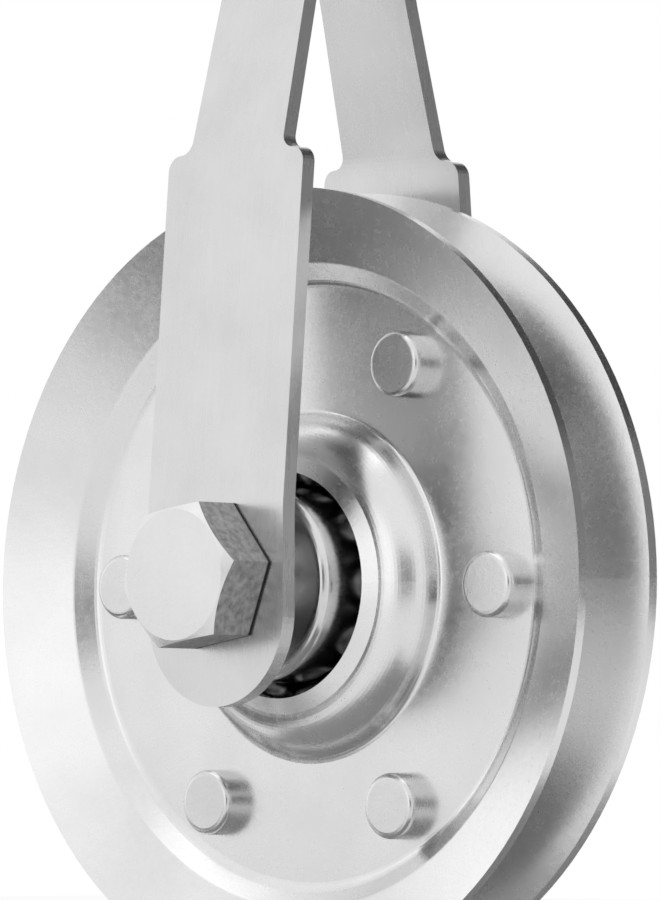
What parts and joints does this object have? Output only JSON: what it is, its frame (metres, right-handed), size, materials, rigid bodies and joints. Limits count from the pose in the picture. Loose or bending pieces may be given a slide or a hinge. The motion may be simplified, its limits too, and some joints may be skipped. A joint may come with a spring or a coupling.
{
  "type": "garage door pulley",
  "caption": "Grooved cable sheave of riveted sheet steel, turning on balls in a forked strap with a bolt for an axle and a bent eye to hang it by.",
  "frame": {"origin": "centre of the sheave, on the axle's line and in the plane of the cable groove", "axes": "+Y along the axle from the bolt's head to its nut, +Z from the axle up to the eye, +X to the right as seen from the bolt's head"},
  "size_m": [0.0762, 0.0437, 0.1067],
  "materials": {
    "strap_steel": "bright zinc plating, satin",
    "bolt_zinc": "bright zinc plating",
    "dark_steel": "plain steel",
    "race_steel": "turned steel",
    "sheave_zinc": "zinc plated sheet, satin",
    "rivet_zinc": "zinc plated",
    "ball_steel": "polished"
  },
  "bodies": {
    "fork": {"fork_strap": "strap_steel", "axle_bolt": "bolt_zinc", "axle_nut": "bolt_zinc", "front_spacer": "dark_steel", "rear_spacer": "dark_steel", "inner_race": "race_steel"},
    "sheave": {"front_sheave_half": "sheave_zinc", "rear_sheave_half": "sheave_zinc", "sheave_rivets": "rivet_zinc"},
    "ball_set": {"ball_01": "ball_steel", "ball_02": "ball_steel", "ball_03": "ball_steel", "ball_04": "ball_steel", "ball_05": "ball_steel", "ball_06": "ball_steel", "ball_07": "ball_steel", "ball_08": "ball_steel", "ball_09": "ball_steel"}
  },
  "joints": [
    {"name": "sheave_spin", "type": "hinge", "parent": "fork", "child": "sheave", "pos_m": [0, 0, 0], "axis": [0, 1, 0], "continuous": true},
    {"name": "ball_orbit", "type": "hinge", "parent": "fork", "child": "ball_set", "pos_m": [0, 0, 0], "axis": [0, 1, 0], "continuous": true}
  ],
  "couplings": [
    {"joint": "ball_orbit", "follows": "sheave_spin", "ratio": 0.66973}
  ]
}
